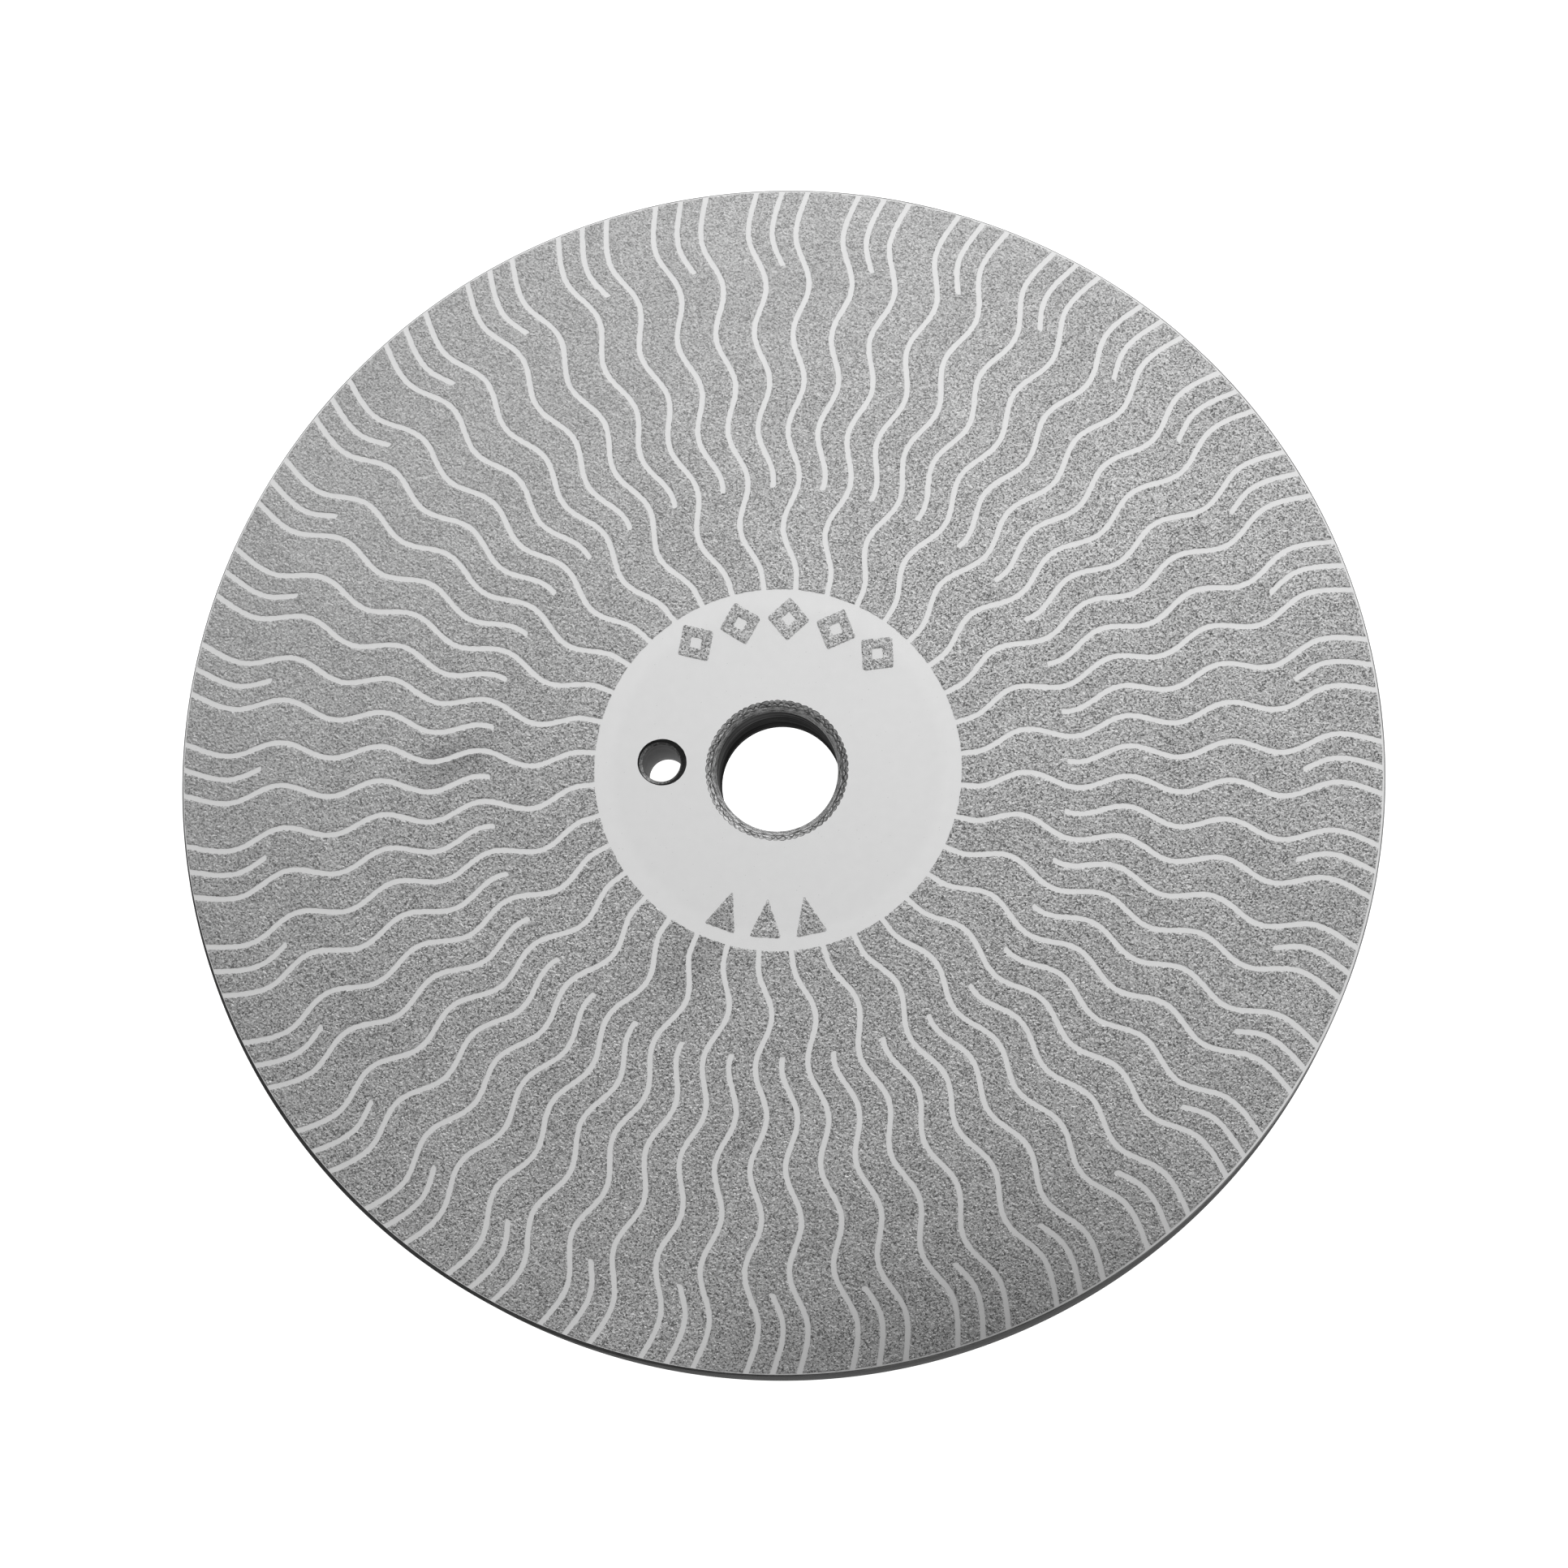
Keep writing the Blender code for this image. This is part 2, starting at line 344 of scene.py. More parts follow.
    def colour(self, output):
        self.link(output, self.shader.inputs["Base Color"])

    def roughness(self, output):
        self.link(output, self.shader.inputs["Roughness"])


def shadowed_and_stained(look, value, soft_patches):
    """Darkens a value inside soft ovals on the face: stains, and a painted shadow."""
    for middle, length, width, turn, left in soft_patches:
        place = look.tree.nodes.new("ShaderNodeMapping")
        place.vector_type = "TEXTURE"
        place.inputs["Location"].default_value = (*middle, GRIT_HEIGHT)
        place.inputs["Rotation"].default_value = (0.0, 0.0, math.radians(turn))
        place.inputs["Scale"].default_value = (length, width, width)
        look.link(look.place, place.inputs["Vector"])
        reach = look.length(place.outputs["Vector"])
        value = look.times(value, look.remap(reach, 0.1, 1.0, left, 1.0, True))
    return value


def plated_metal():
    """Satin nickel with faint blotches, fine specks and a trace of grinding, duller at hub and rim, under a
    painted shadow that comes in over the rim.
    """
    look = Shading("plated_nickel", (0.80, 0.80, 0.80), 0.6, 0.55)
    radius = look.length(look.place)
    # A little darker on the hub than on the lines, and darker towards the rim.
    hub_tone = look.remap(radius, 19.4 * MM, 20.4 * MM, 0.73, 0.752)
    broad_tone = look.times(hub_tone, look.remap(radius, 24.0 * MM, 62.0 * MM, 1.027, 0.982))
    blotches = look.noise(9.0 * MM, 3.0)
    cloudy = look.remap(blotches, 0.3, 0.7, 0.985, 1.01)
    hazy = look.remap(look.noise(1.2 * MM, 2.0), 0.3, 0.7, 0.99, 1.01)
    specks = look.remap(look.cells(0.75 * MM, "Distance"), 0.045, 0.075, 0.80, 1.0, True)
    grey = look.times(cloudy, hazy, broad_tone, specks)
    # A painted shadow comes in over the rim.
    look.colour(shadowed_and_stained(look, grey, [(*PAINTED_SHADOW, PAINTED_SHADOW_ON_PLATING)]))
    look.roughness(look.remap(blotches, 0.3, 0.7, 0.53, 0.58))
    grind = look.noise(1.0, 2.0, vector=look.stretched((60.0, 2600.0, 60.0)))
    look.bump(grind, 0.002 * MM, 0.4)
    return look.material


def wall_look(name, sheen, line_size, streak):
    """A bare machined wall, painted nearly black for the shade it shows at a grazing look, with fine lines
    round the axis.
    """
    look = Shading(name, (0.05, 0.05, 0.05), 0.0, 0.6)
    look.shader.inputs["Specular IOR Level"].default_value = sheen
    lines = look.noise(1.0, 3.0, 0.65, look.stretched((40.0, 40.0, 1.0 / line_size)))
    streaks = look.noise(1.0, 2.0, 0.5, look.stretched((streak, streak, 0.35 / line_size)))
    shade = look.times(look.remap(lines, 0.35, 0.70, 0.55, 1.55), look.remap(streaks, 0.3, 0.7, 0.75, 1.25))
    look.roughness(look.remap(lines, 0.3, 0.7, 0.45, 0.65))
    look.bump(lines, 0.03 * MM, 0.5)
    return look, shade


def bored_metal():
    """The bore's wall, with painted shade that makes it darker towards the back."""
    look, shade = wall_look("bored_steel", 0.0, 1.10 * MM, 120.0)
    # Painted shade: the wall darkens deeper down the bore.
    depth = look.remap(look.height(), 2.5 * MM, 7.0 * MM, 0.034, 0.100, True)
    look.colour(look.times(look.remap(shade, 0.6, 1.6, 0.35, 2.2), depth))
    return look.material


def drilled_metal():
    """The pin hole's wall, drilled and evenly grey."""
    look, shade = wall_look("drilled_steel", 0.12, 0.35 * MM, 220.0)
    look.colour(look.times(look.remap(shade, 0.5, 1.5, 0.9, 1.1), 0.115))
    return look.material


def turned_metal():
    """The rim: turned steel with a painted reflection, dark, and a little lighter towards the back."""
    look, shade = wall_look("turned_steel", 0.0, 0.20 * MM, 130.0)
    # Painted reflection: the rim's wall is lighter towards the back.
    band = look.remap(look.height(), 1.0 * MM, 7.0 * MM, 0.115, 0.080, True)
    look.colour(look.times(look.remap(shade, 0.5, 1.5, 0.8, 1.2), band))
    return look.material


def broken_edge_metal():
    """The broken edge of the rim: plated, with painted shade that darkens it round the side away from the
    lamps.
    """
    look = Shading("broken_edge", (0.30, 0.30, 0.30), 1.0, 0.30)
    # Painted shade: the edge darkens round the side away from the lamps.
    broad_tone = look.remap(look.along(PAINTED_SHADE_EDGE_ANGLE), 14.0 * MM, 34.0 * MM, 0.19, 0.09, True)
    scratches = look.noise(1.0, 3.0, 0.6, look.stretched((900.0, 900.0, 4000.0)))
    patches = look.noise(6.0 * MM, 3.0)
    marks = look.times(look.remap(scratches, 0.3, 0.7, 0.8, 1.2), look.remap(patches, 0.3, 0.7, 0.8, 1.15))
    look.colour(look.times(broad_tone, marks))
    look.roughness(look.remap(scratches, 0.3, 0.7, 0.30, 0.45))
    look.bump(scratches, 0.01 * MM, 0.6)
    return look.material


def lip_metal():
    """The plated, chattered mouth of a hole, coloured from the mesh's relief: light nodules with painted
    highlights, and dark seams with painted shade.
    """
    look = Shading("plated_lip", (0.45, 0.45, 0.45), 0.85, 0.42)
    relief = look.tree.nodes.new("ShaderNodeAttribute")
    relief.attribute_name = "relief"
    fine = look.noise(0.12 * MM, 3.0, 0.65)
    coarse = look.noise(0.7 * MM, 2.0, 0.5)
    # Painted shade where the relief is low, in the seams, and painted highlight where it is high, on the
    # crowns.
    base = look.ramp(relief.outputs["Fac"], [(0.0, 0.03), (0.25, 0.14), (0.60, 0.50), (1.0, 0.74)])
    grain = look.times(look.remap(fine, 0.32, 0.68, 0.55, 1.30), look.remap(coarse, 0.3, 0.7, 0.80, 1.12))
    look.colour(look.times(base, grain))
    look.roughness(look.remap(fine, 0.3, 0.7, 0.32, 0.55))
    look.bump(fine, 0.05 * MM, 0.7)
    return look.material


def back_metal():
    """The turned back face: plated steel with concentric tool marks."""
    look = Shading("turned_back", (0.62, 0.62, 0.62), 1.0, 0.36)
    radius = look.length(look.stretched((1.0, 1.0, 0.0)))
    rings = look.tree.nodes.new("ShaderNodeTexNoise")
    rings.noise_dimensions = "1D"
    rings.inputs["Scale"].default_value = 3200.0
    rings.inputs["Detail"].default_value = 3.0
    look.link(radius, rings.inputs["W"])
    marks = rings.outputs["Fac"]
    soft_patches = look.noise(14.0 * MM, 4.0)
    ringed = look.remap(marks, 0.25, 0.75, 0.50, 0.68)
    look.colour(look.times(ringed, look.remap(soft_patches, 0.3, 0.7, 0.9, 1.05)))
    look.roughness(look.remap(marks, 0.25, 0.75, 0.28, 0.46))
    look.bump(marks, 0.01 * MM, 0.8)
    return look.material


def grit_metal():
    """Diamond grains held in nickel: salt and pepper grains, whose lightest cells stand for a few painted
    sparkles, and soft blotches over all. Painted shade and painted light lie towards two sides of the disc,
    and a painted shadow comes in over the rim.
    """
    look = Shading("diamond_grit", (0.40, 0.40, 0.40), 1.0, 0.42)
    grains = look.cells(GRAIN_SIZE)
    fine = look.noise(0.07 * MM, 1.0, 0.5)
    clumps = look.noise(0.5 * MM, 2.0)
    blotches = look.noise(7.0 * MM, 3.0)
    middle_grey = 0.47
    mixed = look.math("ADD", look.times(grains, 0.55), look.times(fine, 0.45))
    contrast = look.remap(look.along(FINE_SIDE_ANGLE), 3.0 * MM, 45.0 * MM, 1.18, 0.66)
    mixed = look.math("ADD", look.times(look.math("SUBTRACT", mixed, middle_grey), contrast), middle_grey)
    grey = look.ramp(mixed, [(0.20, 0.10), (0.42, 0.34), (0.60, 0.435), (0.80, 0.545)])
    shade = look.times(
        look.remap(clumps, 0.3, 0.7, 0.95, 1.045),
        look.remap(blotches, 0.3, 0.7, 0.94, 1.05),
        # Painted shade towards one side of the disc, and painted light towards another.
        look.remap(look.along(PAINTED_SHADE_SIDE_ANGLE), -60.0 * MM, 0.0, 1.09, 0.955, True),
        look.remap(look.along(PAINTED_LIGHT_SIDE_ANGLE), 5.0 * MM, 50.0 * MM, 1.0, 1.085, True),
        look.remap(look.length(look.place), 20.0 * MM, 62.0 * MM, 1.015, 0.95),
    )
    # The first oval is a painted shadow that comes in over the rim; the others are stains.
    soft_patches = [(*PAINTED_SHADOW, PAINTED_SHADOW_ON_GRIT)] + GRIT_STAINS
    look.colour(shadowed_and_stained(look, look.times(grey, shade), soft_patches))
    look.roughness(look.remap(grains, 0.0, 1.0, 0.50, 0.40))
    hollows = look.times(look.cells(GRAIN_SIZE, "Distance"), -0.9)
    look.bump(look.math("ADD", fine, hollows), 0.05 * MM, 0.12)
    return look.material


# ---------------------------------------------------------------- blank

def circle(steps, radius, height, middle=(0.0, 0.0)):
    """Points round a circle. Radius and height may be numbers or functions of the angle."""
    points = []
    for step in range(steps):
        degrees = 360.0 * step / steps
        reach = radius(degrees) if callable(radius) else radius
        level = height(degrees) if callable(height) else height
        points.append(polar(reach, degrees, level) + Vector((middle[0], middle[1], 0.0)))
    return points


def lobes_passed(degrees):
    """How many chatter lobes lie between +X and an angle round the bore. The lobes aren't quite even."""
    return BORE_LOBES * degrees / 360.0 + LOBE_WANDER * round_noise(degrees, 30, 4.0)


def scallop(degrees):
    """The chatter lobes round the mouth of the bore: 1 on a lobe, 0 in the cusp between two."""
    return abs(math.sin(math.pi * lobes_passed(degrees))) ** 0.7


def nodule(degrees, share):
    """How high a point of the lip lies on its nodule: 0 in a seam, 1 on a crown. The seams are wavy rings."""
    turns = lobes_passed(degrees)
    gap = 1.0
    for count, (middle, swing, drift) in enumerate(SEAMS):
        wander = round_noise(degrees, 20, 30.0 + count) + 0.7 * round_noise(degrees, 80, 40.0 + count)
        seam = middle + drift * wander - swing * math.cos(math.tau * turns)
        depth = 0.5 - 0.9 * round_noise(degrees, 45, 60.0 + count)
        gap = min(gap, abs(share - seam) + 0.08 * max(0.0, depth - 0.5 + 0.2 * count))
    streak = 0.5 + 0.5 * round_noise(degrees, 55, 50.0 + 24.0 * share)
    # The mouth darkens deep down on one side and by the face on another.
    darker_deep = 0.70 * facing(degrees, DARKER_DEEP_ANGLE) * share ** 4
    darker_edge = 0.22 * facing(degrees, DARKER_EDGE_ANGLE) * (1.0 - share)
    lip_tone = 1.0 - darker_deep - darker_edge
    return min(1.0, gap / SEAM_WIDTH) * (0.55 + 0.45 * streak) * lip_tone


def bore_lip_rings():
    """Rings from the scalloped edge on the face, over the nodules, down to the top of the bore's wall."""
    rings = []
    for row in range(BORE_LIP_ROWS + 1):
        share = row / BORE_LIP_ROWS
        edge = max(0.0, 1.0 - 2.2 * share)
        swell = math.sin(math.pi * min(1.0, 0.10 + share)) if 0 < row < BORE_LIP_ROWS else 0.0
        reliefs = [nodule(360.0 * step / BORE_STEPS, share) for step in range(BORE_STEPS)]
        points = []
        for step, relief in enumerate(reliefs):
            degrees = 360.0 * step / BORE_STEPS
            drift = 0.05 * MM * round_noise(degrees, 9, 2.0)
            lobe = LOBE_DEPTH * (scallop(degrees) - 0.6) + drift
            waves = 0.03 * MM * math.sin(math.tau * 3.0 * share + 4.0 * round_noise(degrees, 20, 7.0))
            radius = BORE_LIP_RADIUS + (BORE_RADIUS - BORE_LIP_RADIUS) * share + edge * lobe
            bumps = swell * (NODULE_HEIGHT * (relief - 0.7) + waves)
            height = FACE_HEIGHT - BORE_LIP_DEPTH * share ** 1.1 + bumps
            points.append(polar(radius, degrees, min(FACE_HEIGHT, height)) + Vector((*BORE_MIDDLE, 0.0)))
        rings.append((points, reliefs))
    return rings


def pin_lip_rings():
    """Rings down a smooth countersink that runs off centre into a narrower, chattered seat."""
    rings = []
    for row in range(PIN_LIP_ROWS + 1):
        share = row / PIN_LIP_ROWS
        upper = min(1.0, share / PIN_SEAT_SHARE)
        lower = max(0.0, (share - PIN_SEAT_SHARE) / (1.0 - PIN_SEAT_SHARE))
        base = PIN_LIP_RADIUS + (PIN_SEAT_RADIUS - PIN_LIP_RADIUS) * upper
        base += (PIN_RADIUS - PIN_SEAT_RADIUS) * lower
        mouth, seat = 1.0 - upper, upper * (1.0 - lower)
        places = zip(PIN_MIDDLE, PIN_LIP_SHIFT, PIN_SEAT_SHIFT)
        middle = [start + at_mouth * mouth + at_seat * seat for start, at_mouth, at_seat in places]
        rough = 0.030 * MM * math.sin(math.pi * lower)

        def radius_at(degrees, base=base, mouth=mouth):
            oval = PIN_LIP_OVAL * math.cos(math.radians(2.0 * degrees))
            return base + mouth * (oval + 0.018 * MM * round_noise(degrees, 26, 11.0))

        def height_at(degrees, share=share, rough=rough):
            ripple = rough * round_noise(degrees, 40, 13.0 + 2.0 * share)
            return FACE_HEIGHT - PIN_LIP_DEPTH * share + ripple

        points = circle(PIN_STEPS, radius_at, height_at, middle)
        layer = 17.0 + 3.0 * share
        angles = [360.0 * step / PIN_STEPS for step in range(PIN_STEPS)]
        # The relief here sets only the lip's colour: the smooth rows take 0, its darkest painted shade, and
        # the chattered rows a speckle.
        speckle = [0.44 + 0.28 * round_noise(degrees, 60, layer) for degrees in angles]
        smooth = row <= 4 or row == PIN_LIP_ROWS
        rings.append((points, [0.0] * PIN_STEPS if smooth else speckle))
    return rings


def wall_rings(steps, radius, high, low, count, groove, middle, layer):
    """Rings down a straight wall, each a little larger or smaller, as a turning tool leaves it."""
    rings = []
    for row in range(1, count):
        height = high + (low - high) * row / count
        cut = groove * noise.noise(Vector((layer, 0.0, 1.7 * row)))

        def radius_at(degrees, cut=cut, row=row):
            base = radius(degrees) if callable(radius) else radius
            return base + cut + 0.35 * groove * round_noise(degrees, 10, layer + 0.9 * row)

        rings.append((circle(steps, radius_at, height, middle), None))
    return rings


def wide_side(degrees):
    """1 where the rim is fullest and its broken edge widest, and 0 on the other side of the disc."""
    return facing(degrees, WIDE_EDGE_ANGLE) ** 6


def rim_radius(degrees):
    """The rim is very slightly out of round."""
    return WHEEL_RADIUS - RIM_INSET + RIM_BULGE * wide_side(degrees)


def face_radius(degrees):
    """Where the flat face ends and the broken edge starts. It wavers a little, as a filed edge does."""
    wavering = 0.2 * round_noise(degrees, 14, 5.0)
    return rim_radius(degrees) - EDGE_CHAMFER * (1.0 + WIDE_EDGE_GROWTH * wide_side(degrees) + wavering)


class Shell:
    """Gathers rings, bands and flat faces into one closed mesh, and keeps each vertex's relief."""

    def __init__(self):
        self.mesh = bmesh.new()
        self.relief = self.mesh.verts.layers.float.new("relief")

    def ring(self, points, reliefs=None):
        verts = [self.mesh.verts.new(point) for point in points]
        for index, vert in enumerate(verts):
            vert[self.relief] = 1.0 if reliefs is None else reliefs[index]
        return verts

    def band(self, upper, lower, material, outward):
        """Joins two rings of the same length with smooth faces."""
        count = len(upper)
        for index in range(count):
            after = (index + 1) % count
            corners = [upper[index], lower[index], lower[after], upper[after]]
            if not outward:
                corners.reverse()
            face = self.mesh.faces.new(corners)
            face.material_index = material
            face.smooth = True

    def bands(self, rows, material, outward=True):
        """Joins rows, upper first. A row is a pair of points and reliefs, or verts already made."""
        rows = [row if isinstance(row, list) else self.ring(*row) for row in rows]
        for upper, lower in zip(rows, rows[1:]):
            self.band(upper, lower, material, outward)
        return rows[0], rows[-1]

    def flat(self, outer, holes, material, up):
        """A flat face with holes, triangulated between its loops and a few rings of extra points."""
        loops = [outer] + holes
        verts = [vert for loop in loops for vert in loop]
        edges = []
        start = 0
        for loop in loops:
            edges += [(start + i, start + (i + 1) % len(loop)) for i in range(len(loop))]
            start += len(loop)
        level = outer[0].co.z
        for radius in FACE_RINGS:
            verts += self.ring([
                point for point in circle(FACE_RING_STEPS, radius, level)
                if not any(inside_loop(point.xy, hole, FACE_RING_CLEARANCE) for hole in holes)])
        for loop in loops:
            for start, end in zip(loop, loop[1:] + loop[:1]):
                self.mesh.edges.get((start, end)).smooth = False
        places = [vert.co.xy for vert in verts]
        found = geometry.delaunay_2d_cdt(places, edges, [], 0, 1e-9)
        for triangle in found[2]:
            middle = sum((found[0][i] for i in triangle), Vector((0.0, 0.0))) / 3.0
            if any(inside_loop(middle, hole) for hole in holes):
                continue
            corners = [verts[found[3][i][0]] for i in triangle]
            if not up:
                corners.reverse()
            face = self.mesh.faces.new(corners)
            face.material_index = material
            face.smooth = False

    def finish(self, name):
        """The mesh, with a sharp edge wherever two materials meet."""
        for edge in self.mesh.edges:
            if len({face.material_index for face in edge.link_faces}) > 1:
                edge.smooth = False
        mesh = bpy.data.meshes.new(name)
        self.mesh.to_mesh(mesh)
        self.mesh.free()
        return mesh


def inside_loop(point, loop, margin=0.0):
    """True if the point is inside a nearly round loop of vertices, or within the margin of it."""
    middle = sum((vert.co.xy for vert in loop), Vector((0.0, 0.0))) / len(loop)
    reach = (loop[0].co.xy - middle).length
    if (point - middle).length > reach + margin + HOLE_UNEVENNESS:
        return False
    turn = math.atan2(point.y - middle.y, point.x - middle.x) % math.tau
    nearest = loop[round(turn / math.tau * len(loop)) % len(loop)]
    return (point - middle).length < (nearest.co.xy - middle).length + margin


def build_blank():
    """The disc: two holes with rough mouths, grooved walls, a broken rim edge, a flat face and a back."""
    plated, turned, lip, back, bored, drilled, broken = range(7)
    shell = Shell()
    top, bottom = FACE_HEIGHT, 0.0

    def hole(lip_rings, steps, radius, depth, middle, rows, groove, wall_material, layer):
        """A rough mouth, a grooved wall and a small chamfer at the back. Gives its loops on face and back."""
        mouth, throat = shell.bands(lip_rings, lip, outward=False)
        wall = wall_rings(steps, radius, top - depth, BACK_CHAMFER, rows, groove, middle, layer)
        chamfer = [
            (circle(steps, radius, BACK_CHAMFER, middle), None),
            (circle(steps, radius + BACK_CHAMFER, bottom, middle), None),
        ]
        foot, back_mouth = shell.bands(chamfer, back, outward=False)
        shell.bands([throat] + wall + [foot], wall_material, outward=False)
        return mouth, back_mouth

    bore_top, bore_back = hole(
        bore_lip_rings(), BORE_STEPS, BORE_RADIUS, BORE_LIP_DEPTH, BORE_MIDDLE,
        BORE_ROWS, BORE_GROOVE, bored, 1.0)
    pin_top, pin_back = hole(
        pin_lip_rings(), PIN_STEPS, PIN_RADIUS, PIN_LIP_DEPTH, PIN_MIDDLE,
        PIN_ROWS, PIN_GROOVE, drilled, 3.0)

    def edge(height, side):
        """A broken edge of the rim, from the face outwards."""
        near = circle(RIM_STEPS, face_radius, height, RIM_MIDDLE)
        far = circle(RIM_STEPS, rim_radius, height - side * EDGE_CHAMFER, RIM_MIDDLE)
        return [(near, None), (far, None)]

    rim_top, wall_top = shell.bands(edge(top, 1.0), broken)
    wall_foot, rim_back = shell.bands(list(reversed(edge(bottom, -1.0))), broken)
    wall = wall_rings(
        RIM_STEPS, rim_radius, top - EDGE_CHAMFER, EDGE_CHAMFER, RIM_ROWS, RIM_GROOVE, RIM_MIDDLE, 9.0)
    shell.bands([wall_top] + wall + [wall_foot], turned)
    shell.flat(rim_top, [bore_top, pin_top], plated, up=True)
    shell.flat(rim_back, [bore_back, pin_back], back, up=False)
    looks = (plated_metal, turned_metal, lip_metal, back_metal, bored_metal, drilled_metal, broken_edge_metal)
    return new_object("blank_body", shell.finish("blank_body"), [look() for look in looks])


# ---------------------------------------------------------------- bare lines

def wave_turns():
    """The radii where the wave turns back, each with its sideways swing, from the hub to past the rim."""
    turns = []
    for count in range(INNER_TURNS, -1, -1):
        side = -1.0 if count % 2 == 0 else 1.0
        swing = INNER_SWING if count == INNER_TURNS else WAVE_SWING
        turns.append((WAVE_TURN_RADIUS - count * WAVE_HALF_LENGTH, side * swing))
    turns.append((OUTER_TURN_RADIUS, OUTER_SWING))
    turns.append((RIM_TURN_RADIUS, RIM_SWING))
    return turns


def wave_offset(radius):
    """The sideways distance of a line's centre from its own radius line."""
    turns = wave_turns()
    if radius <= turns[0][0]:
        return turns[0][1]
    for (start, from_side), (end, to_side) in zip(turns, turns[1:]):
        if radius <= end:
            share = (radius - start) / (end - start)
            return from_side + (to_side - from_side) * (0.5 - 0.5 * math.cos(math.pi * share))
    return turns[-1][1]


def wave_point(angle, radius, sideways):
    """A point beside a line: sideways is measured square to the wave."""
    step = 0.01 * MM
    slope = (wave_offset(radius + step) - wave_offset(radius - step)) / (2.0 * step)
    offset = wave_offset(radius) + sideways * math.hypot(1.0, slope)
    return polar(radius, angle + math.degrees(offset / radius)).xy


def line_side(angle, start, end, side):
    """One edge of a line from one radius to another. Side is 1 or -1."""
    count = max(2, round((end - start) / EDGE_PITCH))
    radii = [start + (end - start) * step / count for step in range(count + 1)]
    return [wave_point(angle, radius, side * 0.5 * LINE_WIDTH) for radius in radii]


def slit(angle, start, end):
    """A bare line open at the rim: in along one edge, round its inner end, out along the other."""
    body = start + LINE_END_ROUNDING
    inward = list(reversed(line_side(angle, body, end, -1.0)))
    cap = []
    for turn in range(18, 180, 24):
        swing = math.radians(turn)
        width = -0.5 * LINE_WIDTH * math.copysign(abs(math.cos(swing)) ** 0.7, math.cos(swing))
        cap.append(wave_point(angle, body - LINE_END_ROUNDING * math.sin(swing) ** 0.8, width))
    return inward + cap + line_side(angle, body, end, 1.0)


def arc_between(radius, first, last):
    """Points along an arc from one corner to the next, without the corners."""
    begin = math.degrees(math.atan2(first.y, first.x))
    finish = math.degrees(math.atan2(last.y, last.x))
    sweep = (finish - begin + 180.0) % 360.0 - 180.0
    count = max(1, round(abs(math.radians(sweep)) * radius / EDGE_PITCH))
    return [polar(radius, begin + sweep * step / count).xy for step in range(1, count)]


def island_outline():
    """The first island between two long lines, with its middle and short lines let in from the rim."""
    angle = FIRST_LINE_ANGLE
    inner, outer = GRIT_INNER_RADIUS, GRIT_OUTER_RADIUS
    outline = line_side(angle, inner, outer, 1.0)
    runs = [
        slit(angle + 0.25 * ISLAND_ANGLE, SHORT_LINE_START, outer),
        slit(angle + 0.50 * ISLAND_ANGLE, MIDDLE_LINE_START, outer),
        list(reversed(line_side(angle + ISLAND_ANGLE, inner, outer, -1.0))),
    ]
    for run in runs:
        outline += arc_between(outer, outline[-1], run[0]) + run
    outline += arc_between(inner, outline[-1], outline[0])
    return outline


# ---------------------------------------------------------------- marks

def rounded_loop(corners, rounding):
    """A closed outline through the corners, with each corner rounded and points at the edge pitch."""
    outline = []
    count = len(corners)
    for index, corner in enumerate(corners):
        before = (corners[index - 1] - corner).normalized()
        after = (corners[(index + 1) % count] - corner).normalized()
        start, end = corner + before * rounding, corner + after * rounding
        for step in range(5):
            share = step / 4.0
            outline.append(start.lerp(corner, share).lerp(corner.lerp(end, share), share))
        goal = corners[(index + 1) % count] - after * rounding
        pieces = max(1, round((goal - end).length / EDGE_PITCH))
        outline += [end.lerp(goal, step / pieces) for step in range(1, pieces)]
    return outline


def rhombus_outlines():
    """An open rhombus on +X, standing on its corner, its long axis along the radius."""
    middle = 0.5 * (MARK_INNER_RADIUS + MARK_OUTER_RADIUS)
    half_length = 0.5 * (MARK_OUTER_RADIUS - MARK_INNER_RADIUS)
    half_width = 0.5 * MARK_WIDTH
    inset = MARK_STROKE * math.hypot(half_length, half_width) / (half_length * half_width)
    outlines = []
    for share, rounding in ((1.0, 0.30 * MM), (1.0 - inset, 0.15 * MM)):
        length, width = half_length * share, half_width * share
        corners = [(middle - length, 0.0), (middle, -width), (middle + length, 0.0), (middle, width)]
        outlines.append(rounded_loop([Vector(corner) for corner in corners], rounding))
    return outlines


def triangle_outlines():
    """A solid triangle on +X with its point towards the bore."""
    half_width = 0.5 * TRIANGLE_WIDTH
    corners = [
        (MARK_INNER_RADIUS, 0.0), (TRIANGLE_OUTER_RADIUS, -half_width), (TRIANGLE_OUTER_RADIUS, half_width)]
    return [rounded_loop([Vector(corner) for corner in corners], 0.30 * MM)]


def build_marks(material):
    pieces = []
    rows = [
        ("rhombus", rhombus_outlines(), 90.0, TOP_MARKS, TOP_MARK_PITCH),
        ("triangle", triangle_outlines(), 270.0, BOTTOM_MARKS, BOTTOM_MARK_PITCH),
    ]
    for shape, outlines, middle, count, pitch in rows:
        plan = plan_of(outlines, MARK_PLAN_SEED)
        for index in range(count):
            name = "%s_%d" % (shape, index + 1)
            turn = middle + (index - 0.5 * (count - 1)) * pitch
            mesh = plate_mesh(name, plan, turn, MARK_SEED + 10 * count + index)
            piece = new_object(name, mesh, [material])
            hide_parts("hub_" + name)
            pieces.append(piece)
    return pieces


# ---------------------------------------------------------------- grit

